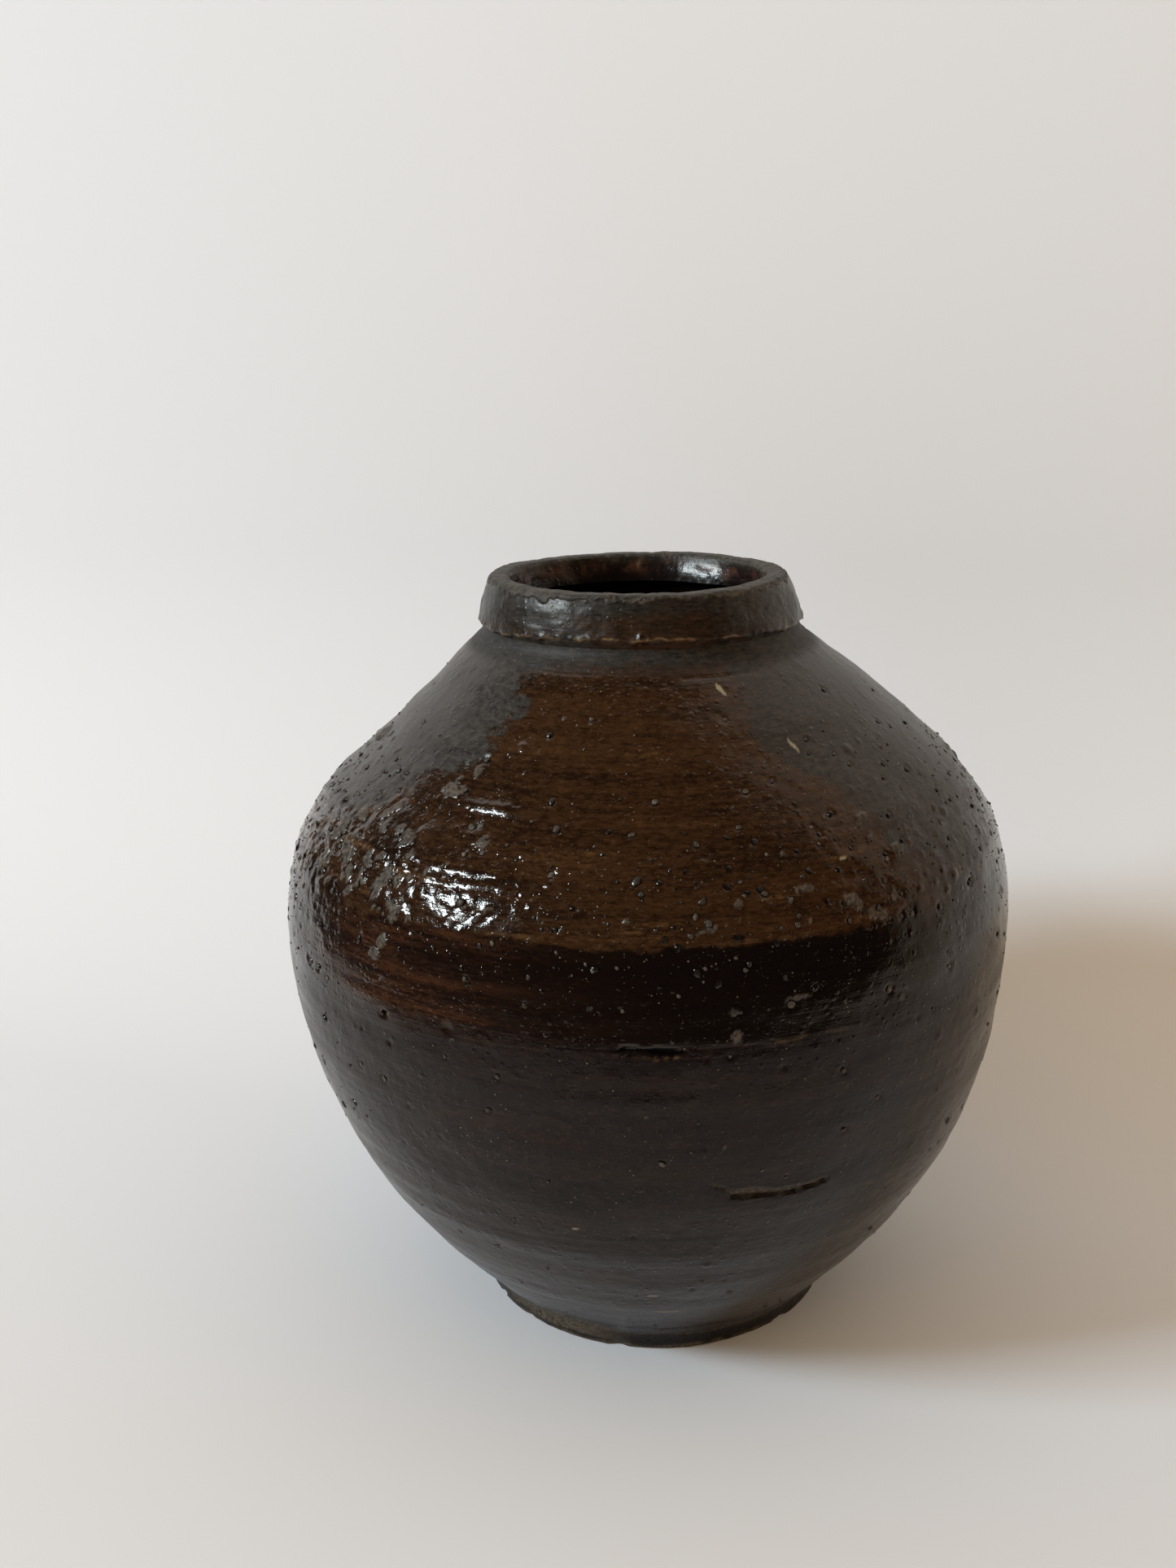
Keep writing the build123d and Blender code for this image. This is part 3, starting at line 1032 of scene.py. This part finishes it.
def rim_glaze():
    """The same glaze on the rim, worn to matte clay on the lip and golden at its lower edge."""
    material, make = new_finish("rim_glaze")
    tone = make.mask("tone")
    base, fine = glaze_color(make, tone, make.mask("ochre"))[:2]
    # Where the rim is not brown, a smoky grey: partly the glaze's colour, partly painted sheen
    smoky_sheen = (1 - make.between(tone, 0.1, 0.7)) * make.between(fine, 0.3, 0.7)
    base = make.blend(smoky_sheen, base, SMOKE_GLAZE_SHEEN)
    crumbly = make.grain(1.3, detail=4.0, shift=8.0)
    gold = make.mask("gold") * make.between(make.grain(2.0, shift=6.0), 0.25, 0.5)
    base = make.blend(gold, base, RIM_GOLD)
    inside = make.mask("inside")
    blotch = make.grain(6, detail=4.0, shift=1.0)
    throat = make.passing(blotch, 0.46, 0.6, INNER_BROWN, INNER_RED)
    throat = make.passing(blotch, 0.62, 0.72, throat, INNER_TAN)
    # Painted shade: the throat darkens to black lower down inside
    throat = make.blend(make.mask("deep"), throat, BLACK_GLAZE)
    base = make.blend(inside, base, throat)
    worn = make.mask("bare")
    flakes = make.grain(3.4, (1, 1, 1), 6.0, 12.0, 0.75)
    base = make.blend(worn, base, make.passing(flakes, 0.42, 0.62, WORN_DARK, WORN_PALE))
    cloud = make.between(make.grain(11, detail=3.0, shift=19.0), 0.35, 0.65)
    roughness = make.level(cloud, 0.32, 0.44)
    roughness = make.level(inside, roughness, 0.27)
    roughness = make.level(worn, roughness, 0.6)
    normal = make.bump(worn * crumbly, 0.3, glaze_bump(make, crumbly * 0.3))
    make.show(make.shader(base, roughness, normal))
    return material


def inner_glaze():
    """Thin brown wash inside the jar."""
    material, make = new_finish("inner_glaze")
    mottle = make.between(make.grain(7, detail=4.0, shift=1.0), 0.52, 0.68)
    base = make.blend(mottle * 0.6, INNER_BROWN, INNER_RED)
    normal = make.bump(make.grain(1.6, detail=3.0), 0.2)
    make.show(make.shader(base, make.level(mottle, 0.28, 0.5), normal))
    return material


def raw_clay():
    """Sandy fired clay of the foot, with a run of glaze down its side."""
    material, make = new_finish("raw_clay")
    crumbly = make.grain(1.6, detail=5.0, shift=8.0)
    blotch = make.grain(14, detail=3.0, shift=2.0)
    base = make.passing(crumbly, 0.35, 0.65, DARK_CLAY, FOOT_CLAY)
    base = make.blend(make.between(blotch, 0.45, 0.65) * 0.5, base, FOOT_STAIN)
    glazed = make.mask("tone")
    base = make.blend(glazed, base, LOW_GLAZE)
    pores = make.between(make.cells(2.1, 5.0), 0.1, 0.3)
    normal = make.bump(pores, 0.3, make.bump(crumbly, 0.3))
    make.show(make.shader(base, make.level(glazed, 0.82, 0.45), normal, 1.33))
    return material


def kiln_crust():
    """Grains of ash and grit, some glazed over and some dry, their sides black as painted shade.
    """
    material, make = new_finish("kiln_crust")
    dry = make.mask("crust")
    crumbly = make.grain(1.1, detail=3.0, shift=8.0)
    topped = make.passing(crumbly, 0.42, 0.7, GRAIN_TOP, GRAIN_DRY)
    # Painted shade: grains black down their sides, with dry crust only on their tops
    base = make.passing(dry, 0.1, 0.9, BLACK_GLAZE, topped)
    normal = make.bump(crumbly, 0.15)
    make.show(make.shader(base, make.level(make.between(dry, 0.1, 0.6), 0.14, 0.6), normal))
    return material


# Rim

# Radius of the rim, for patterns and marks that run round it
RING = 60

# Beads of glaze along the rim's lower edge, and the bubble that has burst in front
BEADS = 90
BUBBLE_TURN = 1.5
BUBBLE_HEIGHT = 275.9


def rounded(before, corner, after):
    """Points along a rounded corner, from its start to just before its end."""
    before, corner, after = (np.array(p, float) for p in (before, corner, after))
    shares = np.arange(5) / 5
    return [before * (1 - t) ** 2 + corner * 2 * t * (1 - t) + after * t * t for t in shares]


# Stretches of the rim's section, each with the side that it belongs to
RIM_STRETCHES = [
    ("under", bowed((52.0, 271.5), (60.0, 271.5), 0, 1.4)),
    ("under", bowed((60.0, 271.5), (61.15, 274.4), 0, 0.6)),
    ("band", rounded((61.15, 274.4), (61.4, 275.0), (61.2, 275.6))),
    ("band", bowed((61.2, 275.6), (56.6, 288.9), 0.25, 0.4)),
    ("lip", rounded((56.6, 288.9), (56.2, 290.0), (55.1, 290.0))),
    ("lip", bowed((55.1, 290.0), (50.4, 290.0), 0, 0.5)),
    ("lip", rounded((50.4, 290.0), (49.1, 290.0), (48.7, 288.4))),
    ("throat", bowed((48.7, 288.4), (46.8, 279.0), 0, 0.7)),
    ("throat", bowed((46.8, 279.0), (52.0, 271.5), -1.2, 0.8)),
]


def rim(finish):
    """The rim coil, with its ragged lower edge, its worn lip and its chips."""
    loop = [tuple(p) for side, run in RIM_STRETCHES for p in run]
    names = [side for side, run in RIM_STRETCHES for p in run]
    mesh = turned(loop, range(len(loop)), True, RIM_STEPS)
    turn, radius, height, mark = read_points(mesh)
    sides = np.array(names)[np.clip(np.round(mark).astype(int), 0, len(names) - 1)]
    place = on_circle(turn, radius, height)
    ring = on_circle(turn, RING, np.zeros(len(turn)))
    band = sides == "band"
    lip = (sides == "lip").astype(float)
    throat = (sides == "throat").astype(float)
    outside = band | (radius > RING)

    # Lower edge: ragged, sagging at the sides, and beaded
    near_edge = hump(height, 275, 2.2) * ((sides == "under") & (radius > 58.5) | band)
    ragged = 0.8 * drift(ring / 9, 71) + 0.6 * drift(ring / 3.6, 72) + 0.35 * drift(ring / 1.5, 73)
    sagged = 2.1 * np.sin(np.radians(turn)) ** 2 * ease(radius, 59, 61)
    dropped = (0.2 - 0.7 * ragged - sagged) * near_edge
    pick = np.random.default_rng(89)
    beads = np.zeros(len(turn))
    for at_turn, size in zip(pick.uniform(-180, 180, BEADS), pick.uniform(0.5, 1.5, BEADS)):
        bead = np.radians(turned_by(turn, at_turn)) * 61
        beads = np.maximum(beads, (0.4 + 0.5 * size) * hump(bead, 0, size))
    dropped -= 0.4 * beads * near_edge

    # Lip: its outer corner chipped away, its top uneven and pitted
    outer_lip = hump(height, 289.8, 1.0) * hump(radius, 56.2, 1.3)
    flaky = 0.3 + 0.9 * facing(turn, -18, 26)
    chips = ease(drift(ring / 4.2, 74) + 0.6 * drift(place / 1.9, 75), 0.15, 0.7) * flaky
    flaked = 0.8 * outer_lip * (0.1 + 1.1 * chips)
    wave = lip * (0.3 * drift(ring / 21, 80) - 0.35 + 0.22 * drift(ring / 6, 81))
    pitted = 0.25 * ease(drift(place / 1.5, 82), 0.2, 0.8) * lip

    # Skin: uneven, drawn round in the turning, lumpy in the throat, with the bubble's ring
    proud = 0.26 * drift(place / 16, 76) + 0.16 * drift(place / 5, 77)
    proud += 0.08 * drift(place / 1.8, 78)
    proud += 0.12 * drift(place * np.array([0.01, 0.01, 0.42]), 79)
    lumps = 0.7 * drift(place / 9, 88) + 1.9 * facing(turn, 149, 15)
    proud -= throat * ease(290 - height, 0.5, 8) * lumps
    across = np.radians(turned_by(turn, BUBBLE_TURN)) * RING
    bubble = np.hypot(across, height - BUBBLE_HEIGHT)
    proud += 0.6 * hump(bubble, 1.6, 0.55) * outside
    proud += 0.45 * beads * hump(height, 275.2, 0.9) * outside
    proud += band * 0.05 * drift(place / 2.4, 101)
    proud += band * 0.25 * drift(place * np.array([0.02, 0.02, 0.3]), 102)
    wide = radius + proud * (sides != "under") - flaked
    wide += 0.45 * near_edge * drift(ring / 4, 83)
    tall = height + dropped + wave - flaked - pitted
    rough_edge = 288.3 + 1.2 * drift(ring / 6, 84) + 0.9 * drift(place / 2, 85) - 1.7 * chips
    worn_edge = ease(height - rough_edge, -0.3, 0.4)
    wide += 0.28 * worn_edge * band
    write_points(mesh, hand_made(turn, wide, tall))

    # Worn lip, brown lower half, thin golden edge, and painted shade darkening down the throat
    worn = np.where(throat > 0, ease(height, 285, 288) * 0.5, worn_edge * (band | (lip > 0)))
    brown = 1.05 * facing(turn, 7, 29) * (1 - 0.8 * ease(height, 279.5, 285))
    brown = np.maximum(brown + 0.35 * drift(place / 7, 86), 0.5 * hump(height, 276.5, 1.0))
    edge = hump(height, 274.9, 0.42) * ease(drift(ring / 5, 87) + 0.45, 0, 0.5)
    edge *= 0.5 + 0.5 * ease(drift(ring / 1.4, 103), -0.3, 0.4)
    edge *= 0.4 + 0.6 * facing(turn, -8, 50)
    shaded = 1 - ease(height + 1.5 * drift(place / 5, 104), 279.5, 285.5)
    masks = {
        "bare": np.clip(worn, 0, 1),
        "tone": np.clip(brown, 0, 1),
        "ochre": 0.6 * hump(height, 276.5, 2.0),
        "gold": np.clip(edge, 0, 1) * outside,
        "inside": throat,
        "deep": throat * shaded,
    }
    write_masks(mesh, masks)
    return piece(mesh, "rim_band", finish)


# Foot

# Stretches of the slab's section: start, end, bulge and spacing
SLAB_STRETCHES = [
    ((0.0, 0.0), (66.0, 0.0), 0, 4.0),
    ((66.0, 0.0), (68.2, 0.0), 0, 0.7),
    ((68.2, 0.0), (69.9, 1.5), 0.35, 0.5),
    ((69.9, 1.5), (72.0, 9.0), 0, 0.7),
    ((72.0, 9.0), (66.0, 9.0), 0, 2.0),
    ((66.0, 9.0), (0.0, 9.0), 0, 6.0),
]

# Coil in the corner inside, as wide and as high as it is pressed
LUTE_WIDTH = 9.0
LUTE_HEIGHT = 6.0


def slab(finish):
    """The round slab that the jar stands on, worn and chipped along its lower edge."""
    points = [tuple(p) for stretch in SLAB_STRETCHES for p in bowed(*stretch)]
    points += [(0.0, 9.0)]
    mesh = turned(points, range(len(points)), False, SLAB_STEPS)
    turn, radius, height = read_points(mesh)[:3]
    place = on_circle(turn, radius, height)
    side = ease(radius, 60, 69) * (1 - ease(height, 7.5, 9))
    chips = ease(drift(place / 7, 91) + 0.5 * drift(place / 2.6, 92), 0.3, 0.9)
    low_edge = hump(height, 0.6, 2.4) * ease(radius, 62, 68)
    proud = side * (0.3 * drift(place / 12, 93) + 0.2 * drift(place / 3.2, 94))
    proud -= 1.2 * chips * low_edge
    under = (1 - ease(height, 0.05, 0.2)) * (1 - ease(radius, 60, 66))
    proud += 0.45 * hump(height, 9, 2.6) * ease(radius, 69, 71)
    lifted = under * (0.35 + 0.3 * drift(place / 9, 95) + 0.12 * drift(place / 3, 96))
    wide = radius + proud * np.clip(radius / 60, 0, 1)
    write_points(mesh, hand_made(turn, wide, height + lifted))
    glazed = 1 - foot_strip(turn) * ease(height + 1.5 * drift(place / 6, 97), 3.0, 4.2)
    glazed *= ease(height + 1.2 * drift(place / 4, 99), 1.4, 2.6) * side
    write_masks(mesh, {"tone": np.clip(glazed, 0, 1)})
    return piece(mesh, "base_slab", finish)


def lute(finish):
    """Coil pressed into the corner inside, between the slab and the first strip."""
    corner = np.array(INNER[0])
    toe = corner - np.array([LUTE_WIDTH, 0.0])
    up = np.array(INNER[1]) - corner
    heel = corner + up / math.hypot(*up) * LUTE_HEIGHT
    points = bowed(toe, heel, -1.2, 0.9) + bowed(heel, corner, 0, 2.0)
    points += bowed(corner, toe, 0, 3.0)
    mesh = turned([tuple(p) for p in points], range(len(points)), True, LUTE_STEPS)
    turn, radius, height = read_points(mesh)[:3]
    place = on_circle(turn, radius, height)
    inner_side = ease(height, 9.2, 10.5) * (1 - ease(radius + height * 0.84, 71.2, 71.6))
    pressed = -0.45 * inner_side * (0.6 + 0.8 * np.abs(drift(place / 7, 98)))
    write_points(mesh, hand_made(turn, radius - pressed * 0.7, height + pressed * 0.7))
    return piece(mesh, "base_lute", finish)


# Grit

def grit(finish):
    """All the grains of one piece, each a squashed and turned crumb set into the glaze."""
    pick = np.random.default_rng(44)
    centre = skin(GRAINS[:, 0], GRAINS[:, 1])
    slope_radius = np.interp(GRAINS[:, 1], RUNS, SLOPE_RADIUS)
    slope_height = np.interp(GRAINS[:, 1], RUNS, SLOPE_HEIGHT)
    crumb = bmesh.new()
    bmesh.ops.create_uvsphere(crumb, u_segments=7, v_segments=5, radius=1)
    shape = bpy.data.meshes.new("crumb")
    crumb.to_mesh(shape)
    crumb.free()
    work = bmesh.new()
    for _ in GRAINS:
        work.from_mesh(shape)
    mesh = bpy.data.meshes.new("kiln_grit")
    work.to_mesh(mesh)
    work.free()
    places = np.zeros(len(mesh.vertices) * 3)
    mesh.vertices.foreach_get("co", places)
    count = len(GRAINS)
    places = places.reshape(count, -1, 3)
    # Painted shade: each grain's crust share is kept to its top, so its sides stay black like the
    # shade round its foot
    top = ease(places[:, :, 2], 0.2, 0.85)
    places += pick.uniform(-0.16, 0.16, places.shape)
    wide = pick.uniform(0.75, 1.3, (count, 1, 2))
    places *= np.concatenate([wide, pick.uniform(0.4, 0.62, (count, 1, 1))], 2)
    places *= GRAINS[:, 2][:, None, None]
    for index, (row, out, up) in enumerate(zip(GRAINS, slope_height, -slope_radius)):
        angle = math.radians(row[0])
        outward = Vector((out * math.sin(angle), -out * math.cos(angle), up))
        stand = outward.to_track_quat("Z", "Y").to_matrix()
        twist = Matrix.Rotation(pick.uniform(0, 2 * math.pi), 3, "Z")
        seat = centre[index] + np.array(outward) * (0.1 * row[2])
        places[index] = places[index] @ np.array(stand @ twist).T + seat
    write_points(mesh, places.reshape(-1, 3))
    paleness = pick.uniform(0, 1, count) ** 1.6
    write_masks(mesh, {"crust": (top * (0.2 + 0.8 * paleness[:, None])).ravel()})
    return piece(mesh, "kiln_grit", finish)


# Studio, in metres

CAMERA_PLACE = (0.0008, -0.612, 0.381)
CAMERA_PITCH = 15.91
CAMERA_ROLL = -0.99
CAMERA_YAW = -2.14
SENSOR = 36.0
FOCAL_PIXELS = 2000
PHOTO_PIXELS = 1927


def studio_camera():
    """The photograph's view: a little above the rim, close in front."""
    pitch = math.radians(CAMERA_PITCH)
    roll = math.radians(CAMERA_ROLL)
    yaw = math.radians(CAMERA_YAW)
    forward = Vector(
        (math.sin(yaw) * math.cos(pitch), math.cos(yaw) * math.cos(pitch), -math.sin(pitch))
    )
    level = Vector((math.cos(yaw), -math.sin(yaw), 0))
    upright = level.cross(forward)
    right = level * math.cos(roll) + upright * math.sin(roll)
    up = upright * math.cos(roll) - level * math.sin(roll)
    turned_view = Matrix((right, up, -forward)).transposed()
    data = bpy.data.cameras.new("camera")
    data.sensor_fit = "AUTO"
    data.sensor_width = SENSOR
    data.lens = FOCAL_PIXELS / PHOTO_PIXELS * SENSOR
    camera = bpy.data.objects.new("camera", data)
    camera.matrix_world = Matrix.Translation(CAMERA_PLACE) @ turned_view.to_4x4()
    bpy.context.scene.collection.objects.link(camera)
    bpy.context.scene.camera = camera


# The paper: its colours plain and in reflections to the right and far in front, then its shape
PAPER = (0.700, 0.712, 0.738, 1)
PAPER_RIGHT = (0.46, 0.45, 0.44, 1)
PAPER_FAR = (0.03, 0.028, 0.026, 1)
PAPER_TURN = -17.0
PAPER_WIDTH = 6.0
PAPER_FRONT = -3.0
PAPER_BEND = 0.073
PAPER_RADIUS = 0.25
PAPER_STEPS = 24
PAPER_TOP = 2.6


def paper():
    """Pale paper that the jar stands on, swept up behind it."""
    line = [(PAPER_FRONT, 0), (PAPER_BEND, 0)]
    for step in range(1, PAPER_STEPS + 1):
        angle = math.radians(90 * step / PAPER_STEPS)
        forth = PAPER_BEND + PAPER_RADIUS * math.sin(angle)
        line.append((forth, PAPER_RADIUS * (1 - math.cos(angle))))
    line.append((PAPER_BEND + PAPER_RADIUS, PAPER_TOP))
    # Each face runs from left to right and then on, so that the paper's upper side is its front
    work = bmesh.new()
    left = [work.verts.new((-PAPER_WIDTH / 2, forth, rise)) for forth, rise in line]
    right = [work.verts.new((PAPER_WIDTH / 2, forth, rise)) for forth, rise in line]
    for near in range(len(line) - 1):
        work.faces.new((left[near], right[near], right[near + 1], left[near + 1]))
    askew = Matrix.Rotation(math.radians(PAPER_TURN), 3, "Z")
    bmesh.ops.rotate(work, verts=work.verts, cent=(0, 0, 0), matrix=askew)
    work.normal_update()
    mesh = bpy.data.meshes.new("paper")
    work.to_mesh(mesh)
    work.free()
    for polygon in mesh.polygons:
        polygon.use_smooth = True
    mesh.materials.append(paper_finish())
    floor = bpy.data.objects.new("paper", mesh)
    bpy.context.scene.collection.objects.link(floor)


def paper_finish():
    """Matte pale paper, dark in reflections far in front, and clear from behind to the camera."""
    material, make = new_finish("paper")
    across = make.way("Object", "X")
    forth = make.way("Object", "Y")
    glossy = make.ray("Is Glossy Ray")
    color = make.blend(make.between(across, 0.1, 0.9) * glossy, PAPER, PAPER_RIGHT)
    near = make.between(forth, -0.56, -0.27)
    beside = make.between(across + forth * 0.6, -0.75, -0.42)
    color = make.blend(make.larger(1 - near, 1 - beside) * glossy, color, PAPER_FAR)
    plain = make.node("ShaderNodeBsdfDiffuse", {}, {"Color": color})
    clear = make.node("ShaderNodeBsdfTransparent")
    behind = make.node("ShaderNodeNewGeometry", output="Backfacing")
    hidden = make.ray("Is Camera Ray") * behind
    make.show(make.node("ShaderNodeMixShader", {}, {0: hidden, 1: plain, 2: clear}))
    return material


# The window: its turn from straight behind the jar, its rise and distance, then its light
WINDOW_TURN = -110
WINDOW_RISE = 31
WINDOW_AWAY = 5.0
WINDOW_AIM = (0, 0, 0.18)
WINDOW_WIDTH = 1.40
WINDOW_HEIGHT = 0.70
WINDOW_POWER = 200.0
WINDOW_COLOR = (0.72, 0.88, 1.0)

# The room: its light, what it is in reflections, and what the camera sees of it
ROOM_LIGHT = (0.73, 0.53, 0.33, 1)
ROOM_DARK = (0.020, 0.017, 0.015, 1)
ROOM_PALE = (0.80, 0.79, 0.77, 1)
ROOM_SEEN = (0.74, 0.735, 0.72, 1)


def studio_light():
    """A soft window to the left and a pale room, dark only in front and overhead."""
    data = bpy.data.lights.new("window", "AREA")
    data.shape = "RECTANGLE"
    data.size = WINDOW_WIDTH
    data.size_y = WINDOW_HEIGHT
    data.energy = WINDOW_POWER
    data.color = WINDOW_COLOR
    window = bpy.data.objects.new("window", data)
    turn = math.radians(WINDOW_TURN)
    rise = math.radians(WINDOW_RISE)
    level = math.cos(rise)
    toward = Vector((math.sin(turn) * level, math.cos(turn) * level, math.sin(rise)))
    window.location = Vector(WINDOW_AIM) + toward * WINDOW_AWAY
    window.rotation_mode = "QUATERNION"
    window.rotation_quaternion = toward.to_track_quat("Z", "Y")
    window.visible_camera = False
    bpy.context.scene.collection.objects.link(window)
    world = bpy.data.worlds.new("room")
    bpy.context.scene.world = world
    world.use_nodes = True
    make = Finish(world.node_tree)
    across = make.way("Generated", "X")
    forth = make.way("Generated", "Y")
    upward = make.way("Generated", "Z")
    behind = across * 0.3 + forth + upward * 0.2
    mirrored = make.passing(behind, 0.18, 0.60, ROOM_DARK, ROOM_PALE)
    color = make.blend(make.ray("Is Glossy Ray"), ROOM_LIGHT, mirrored)
    color = make.blend(make.ray("Is Camera Ray"), color, ROOM_SEEN)
    shader = make.node("ShaderNodeBackground", {}, {"Color": color, "Strength": 1.0})
    make.node("ShaderNodeOutputWorld", {}, {"Surface": shader})
    bpy.context.scene.view_settings.view_transform = "Standard"


studio_camera()
paper()
studio_light()

# Strips of the wall, each from one station of the outline to another
COURSES = [
    ("foot_course", 0, 1),
    ("lower_course", 1, 2),
    ("belly_course", 2, 3),
    ("ridge_course", 3, 4),
    ("shoulder_course", 4, 6),
    ("neck_course", 6, 8),
]

glaze = ash_glaze()
for node, first, last in COURSES:
    course(node, first, last, glaze)
rim(rim_glaze())
slab(raw_clay())
lute(inner_glaze())
grit(kiln_crust())
